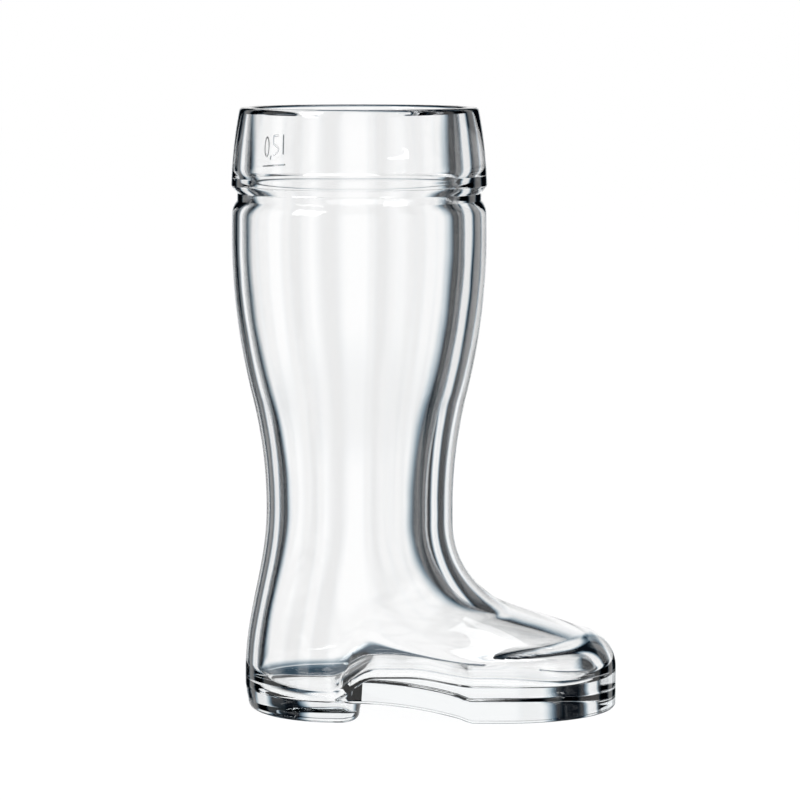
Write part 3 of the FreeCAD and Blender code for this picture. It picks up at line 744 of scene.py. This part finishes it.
relief, given, out = new_tree(
    "engraved_strokes",
    [
        ("Stroke Width", "NodeSocketFloat"),
        ("Relief", "NodeSocketFloat"),
        ("Turn", "NodeSocketFloat"),
        ("Material", "NodeSocketMaterial"),
    ],
)
curves = add(relief, "GeometryNodeMeshToCurve", {"Mesh": given["Geometry"]}).outputs[0]
even = add(relief, "GeometryNodeResampleCurve", {"Curve": curves, "Length": 0.3}, mode="LENGTH")
half_width = math_node(relief, "DIVIDE", given["Stroke Width"], 2.0)
pen = add(relief, "GeometryNodeCurvePrimitiveCircle", {"Resolution": 8, "Radius": half_width})
stroke_mesh = add(
    relief,
    "GeometryNodeCurveToMesh",
    {"Curve": even.outputs[0], "Profile Curve": pen.outputs[0], "Fill Caps": True},
)
# The flat drawing lies in X (across) and Z (up). Y is the depth of the stroke.
drawn = add(relief, "GeometryNodeInputPosition").outputs[0]
flat = add(relief, "ShaderNodeSeparateXYZ", {0: drawn}).outputs
way = math_node(relief, "DIVIDE", math_node(relief, "SUBTRACT", flat["Z"], LIP), HEIGHT - LIP)
belly_part = math_node(relief, "MULTIPLY", way, math_node(relief, "SUBTRACT", 1.0, way))
flare = math_node(relief, "MULTIPLY_ADD", way, RIM_RADIUS - LIP_RADIUS)
flare.node.inputs[2].default_value = LIP_RADIUS
skin = math_node(relief, "MULTIPLY_ADD", belly_part, 4 * COLLAR_BULGE)
relief.links.new(flare, skin.node.inputs[2])
# The pen's round section is pressed flat on one side, a hair off the collar's skin, so
# that light doesn't cross two walls of glass that lie inside each other.
HAIR = 0.012
pen_out = math_node(relief, "MAXIMUM", math_node(relief, "DIVIDE", flat["Y"], half_width), 0.0)
stand = math_node(relief, "MULTIPLY_ADD", pen_out, given["Relief"])
stand.node.inputs[2].default_value = HAIR
radius = math_node(relief, "ADD", skin, stand)
angle = math_node(relief, "ADD", math_node(relief, "DIVIDE", flat["X"], LIP_RADIUS), given["Turn"])
wrapped = add(
    relief,
    "ShaderNodeCombineXYZ",
    {
        "X": math_node(relief, "MULTIPLY", radius, math_node(relief, "COSINE", angle)),
        "Y": math_node(relief, "MULTIPLY", radius, math_node(relief, "SINE", angle)),
        "Z": flat["Z"],
    },
)
laid = add(
    relief,
    "GeometryNodeSetPosition",
    {"Geometry": stroke_mesh.outputs[0], "Position": wrapped.outputs[0]},
)
finish_tree(relief, laid.outputs[0], given, out)
print("strokes:", len(strokes))

# %% [markdown]
# ## Clear soda-lime glass
#
# Soda-lime glass bends light with an index of about 1.52. Fire-polishing leaves it
# with no roughness at all, but the skins keep faint waves about two centimetres long
# from the mould and the blowing, which make the reflections wander. Iron in the
# sand gives a cold tint that only shows where light runs a long way in the glass.

# %% Glass material
WAVE = 18  # mm from crest to crest


def clear_glass(name):
    """Material of clear glass with faint waves, a tint in depth and a light shadow."""
    material = bpy.data.materials.new(name)
    material.use_nodes = True
    tree = material.node_tree
    tree.nodes.clear()
    where = add(tree, "ShaderNodeTexCoord").outputs["Object"]
    scale = 1 / (WAVE * MM)
    waves = add(tree, "ShaderNodeTexNoise", {"Vector": where, "Scale": scale, "Detail": 1.0})
    uneven = add(
        tree, "ShaderNodeBump", {"Strength": 0.10, "Distance": 0.0006, "Height": waves.outputs[0]}
    )
    surface = add(
        tree,
        "ShaderNodeBsdfPrincipled",
        {
            "Base Color": colour("FFFFFF"),
            "Roughness": 0.0,
            "IOR": 1.52,
            "Transmission Weight": 1.0,
            "Normal": uneven.outputs[0],
        },
    )
    # Lamps shine through the glass, so that it casts the faint shadow of glass.
    path = add(tree, "ShaderNodeLightPath").outputs
    through = add(tree, "ShaderNodeBsdfTransparent", {"Color": colour("EFF2F3")})
    mixed = add(
        tree,
        "ShaderNodeMixShader",
        {0: path["Is Shadow Ray"], 1: surface.outputs[0], 2: through.outputs[0]},
    )
    tint = add(tree, "ShaderNodeVolumeAbsorption", {"Color": colour("B9CBD3"), "Density": 2.5})
    add(tree, "ShaderNodeOutputMaterial", {"Surface": mixed.outputs[0], "Volume": tint.outputs[0]})
    return material


glass = clear_glass("clear_soda_lime_glass")
boot.data.materials.append(glass)
print("glass material nodes:", len(glass.node_tree.nodes))

# %% Relief strokes from their tree
drawing = bpy.data.meshes.new("strokes")
points, edges = [], []
for stroke in strokes:
    start = len(points)
    points += [(x, 0, z) for x, z in stroke]
    edges += [(n, n + 1) for n in range(start, len(points) - 1)]
drawing.from_pydata(points, edges, [])
relief_part = linked("relief_part", drawing)
stroke_sizes = {"Stroke Width": 0.6, "Relief": 0.2, "Turn": MARK_TURN, "Material": glass}
tree_inputs(relief_part, "lay", relief, stroke_sizes)
relief_mesh = baked(relief_part)
bpy.data.objects.remove(relief_part)
for vertex in relief_mesh.vertices:
    vertex.co = (vertex.co + Vector((AXIS_X, 0, 0))) * MM
relief_mark = linked("capacity_relief", relief_mesh)
relief_mark.data.shade_smooth()
print("faces in the relief:", len(relief_mesh.polygons))

# %% [markdown]
# ## The studio
#
# Clear glass shows nothing but what stands around it. Product photographers light it
# in a bright field: a white screen straight behind, and black flags beside the
# screen. Straight through the middle one sees white. At the walls the light is bent
# aside, meets the flags, and the glass draws its own edge in black and grey.

# %% Floor and world
def plain_material(name):
    """A material with an empty tree, and the tree."""
    material = bpy.data.materials.new(name)
    material.use_nodes = True
    material.node_tree.nodes.clear()
    return material, material.node_tree


def flat_piece(name, corners, material):
    """One flat face of the studio, not tied to any body."""
    mesh = bpy.data.meshes.new(name)
    mesh.from_pydata([Vector(c) * MM for c in corners], [], [tuple(range(len(corners)))])
    mesh.materials.append(material)
    linked(name, mesh)


def gauge(tree, value, start, end, low=0.0, high=1.0):
    """A smooth change from low to high as the value goes from start to end."""
    return add(
        tree,
        "ShaderNodeMapRange",
        {"Value": value, "From Min": start, "From Max": end, "To Min": low, "To Max": high},
        interpolation_type="SMOOTHSTEP",
    ).outputs[0]


# The floor is white paper. Just round the glass it is paper for every ray. Further
# out, rays that come through the glass or off it go on to the screens and flags.
NEAR = (60 * MM, 26 * MM, 1.0)  # half axes of that near ellipse; its height doesn't count
NEAR_EDGE = (0.95, 1.1)  # share of the half axes over which the change comes
PAPER_GLOW = 0.9  # share of the seen paper that shines of itself, so that it stays white
paper, tree = plain_material("white_paper")
path = add(tree, "ShaderNodeLightPath").outputs
matt = add(tree, "ShaderNodeBsdfDiffuse", {"Color": colour("FFFFFF")})
glow = add(tree, "ShaderNodeEmission", {"Color": colour("FFFFFF"), "Strength": 1.0})
from_glass = math_node(tree, "MAXIMUM", path["Is Transmission Ray"], path["Is Glossy Ray"])
seen = math_node(tree, "MAXIMUM", path["Is Camera Ray"], from_glass)
share = math_node(tree, "MULTIPLY", seen, PAPER_GLOW)
mixed = add(tree, "ShaderNodeMixShader", {0: share, 1: matt.outputs[0], 2: glow.outputs[0]})
where = add(tree, "ShaderNodeTexCoord").outputs["Object"]
spread = add(tree, "ShaderNodeVectorMath", {0: where, 1: NEAR}, operation="DIVIDE").outputs[0]
away = add(tree, "ShaderNodeVectorMath", {0: spread}, operation="LENGTH").outputs["Value"]
beyond = math_node(tree, "MULTIPLY", from_glass, gauge(tree, away, *NEAR_EDGE))
clear = add(tree, "ShaderNodeBsdfTransparent")
laid = add(tree, "ShaderNodeMixShader", {0: beyond, 1: mixed.outputs[0], 2: clear.outputs[0]})
add(tree, "ShaderNodeOutputMaterial", {"Surface": laid.outputs[0]})
# Glass and paper only touch in a few points. The thin film of air between them is
# what makes the sole mirror the room from inside, so the paper lies a hair lower.
FLOOR, AIR_FILM = 6000, 0.05
corners = ((-FLOOR, -FLOOR), (FLOOR, -FLOOR), (FLOOR, FLOOR), (-FLOOR, FLOOR))
flat_piece("paper_floor", [(x, y, -AIR_FILM) for x, y in corners], paper)
print("floor half width:", FLOOR, "mm, near paper:", [round(v / MM) for v in NEAR[:2]], "mm")

# %% Screens and flags in the world
# Wide screens stand behind the front, side and back views, and narrow ones between.
# All of these are pairs of degrees, between which white and flag pass into each other.
WIDE_SCREEN, NARROW_SCREEN = (12, 19), (4, 11)  # to each side of a screen's middle
SCREEN_TOP, SCREEN_FOOT, TABLE = (28, 38), (-32, -19), (-72, -60)  # above the horizon
FOOT_LEVEL = 0.1  # brightness that is left under the screens' foot
world = bpy.data.worlds.new("studio")
bpy.context.scene.world = world
world.use_nodes = True
tree = world.node_tree
tree.nodes.clear()
toward = add(tree, "ShaderNodeTexCoord").outputs["Generated"]
parts = add(tree, "ShaderNodeSeparateXYZ", {0: toward}).outputs
azimuth = math_node(tree, "DEGREES", math_node(tree, "ARCTAN2", parts["Y"], parts["X"]))
off_wide = math_node(tree, "PINGPONG", azimuth, 45)
off_narrow = math_node(tree, "SUBTRACT", 45.0, off_wide)
up = parts["Z"]


def by_height(pair, low, high):
    """A smooth change from low to high between two heights above the horizon."""
    ends = [math.sin(math.radians(degrees)) for degrees in pair]
    return gauge(tree, up, *ends, low, high)


# The screens reach from a little below the horizon, where they fade to a dim table,
# up to well above the glass. Straight down it is white again, for views from above.
beside = math_node(
    tree,
    "MAXIMUM",
    gauge(tree, off_wide, *WIDE_SCREEN, 1.0, 0.0),
    gauge(tree, off_narrow, *NARROW_SCREEN, 1.0, 0.0),
)
screen = math_node(tree, "MULTIPLY", beside, by_height(SCREEN_TOP, 1.0, 0.0))
screen = math_node(tree, "MULTIPLY", screen, by_height(SCREEN_FOOT, FOOT_LEVEL, 1.0))
bright = math_node(tree, "MAXIMUM", screen, by_height(TABLE, 1.0, 0.0))
path = add(tree, "ShaderNodeLightPath").outputs
white = add(tree, "ShaderNodeBackground", {"Color": colour("FFFFFF"), "Strength": 1.0})
# Where the white fades, red goes first, so that the soft edges turn a cold grey.
red, green = math_node(tree, "POWER", bright, 1.4), math_node(tree, "POWER", bright, 1.15)
cold = add(tree, "ShaderNodeCombineXYZ", {"X": red, "Y": green, "Z": bright}).outputs[0]
FLAG, SCREEN = colour("0C1016")[:3], colour("FFFFFF")[:3]
tone = add(
    tree,
    "ShaderNodeMix",
    {1: cold, 4: FLAG, 5: SCREEN},
    data_type="VECTOR",
    factor_mode="NON_UNIFORM",
)
around_glass = add(tree, "ShaderNodeBackground", {"Color": tone.outputs[1], "Strength": 1.0})
from_glass = math_node(tree, "MAXIMUM", path["Is Transmission Ray"], path["Is Glossy Ray"])
lit = {0: from_glass, 1: white.outputs[0], 2: around_glass.outputs[0]}
mixed = add(tree, "ShaderNodeMixShader", lit)
add(tree, "ShaderNodeOutputWorld", {"Surface": mixed.outputs[0]})

# %% [markdown]
# ## Lamps and bodies
#
# Two large soft boxes draw the highlights on the shoulder and the foot. Last, each
# piece is tied to the body that it moves with, and the CAD parts that it stands for
# are hidden.

# %% Lamps
AIM = Vector((0, 0, 90)) * MM  # the middle of the glass


def lamp(name, place, size, power):
    """A square soft box, placed in mm, that looks at the middle of the glass."""
    data = bpy.data.lights.new(name, "AREA")
    data.shape = "SQUARE"
    data.size = size * MM
    data.energy = power
    item = linked(name, data)
    item.location = Vector(place) * MM
    item.rotation_euler = (AIM - item.location).to_track_quat("-Z", "Y").to_euler()


lamp("softbox_left", (-900, -700, 900), 600, 8)
lamp("softbox_top", (200, 200, 1300), 800, 6)

GLASS_NODES = ("cuff", "leg", "foot", "sole", "heel")
MARK_NODES = ("fill_line", "mark_nought", "mark_comma", "mark_five", "mark_litre")
for piece, nodes in ((boot, GLASS_NODES), (relief_mark, MARK_NODES)):
    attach(piece, "root")
    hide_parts(*nodes)
bpy.context.view_layer.update()
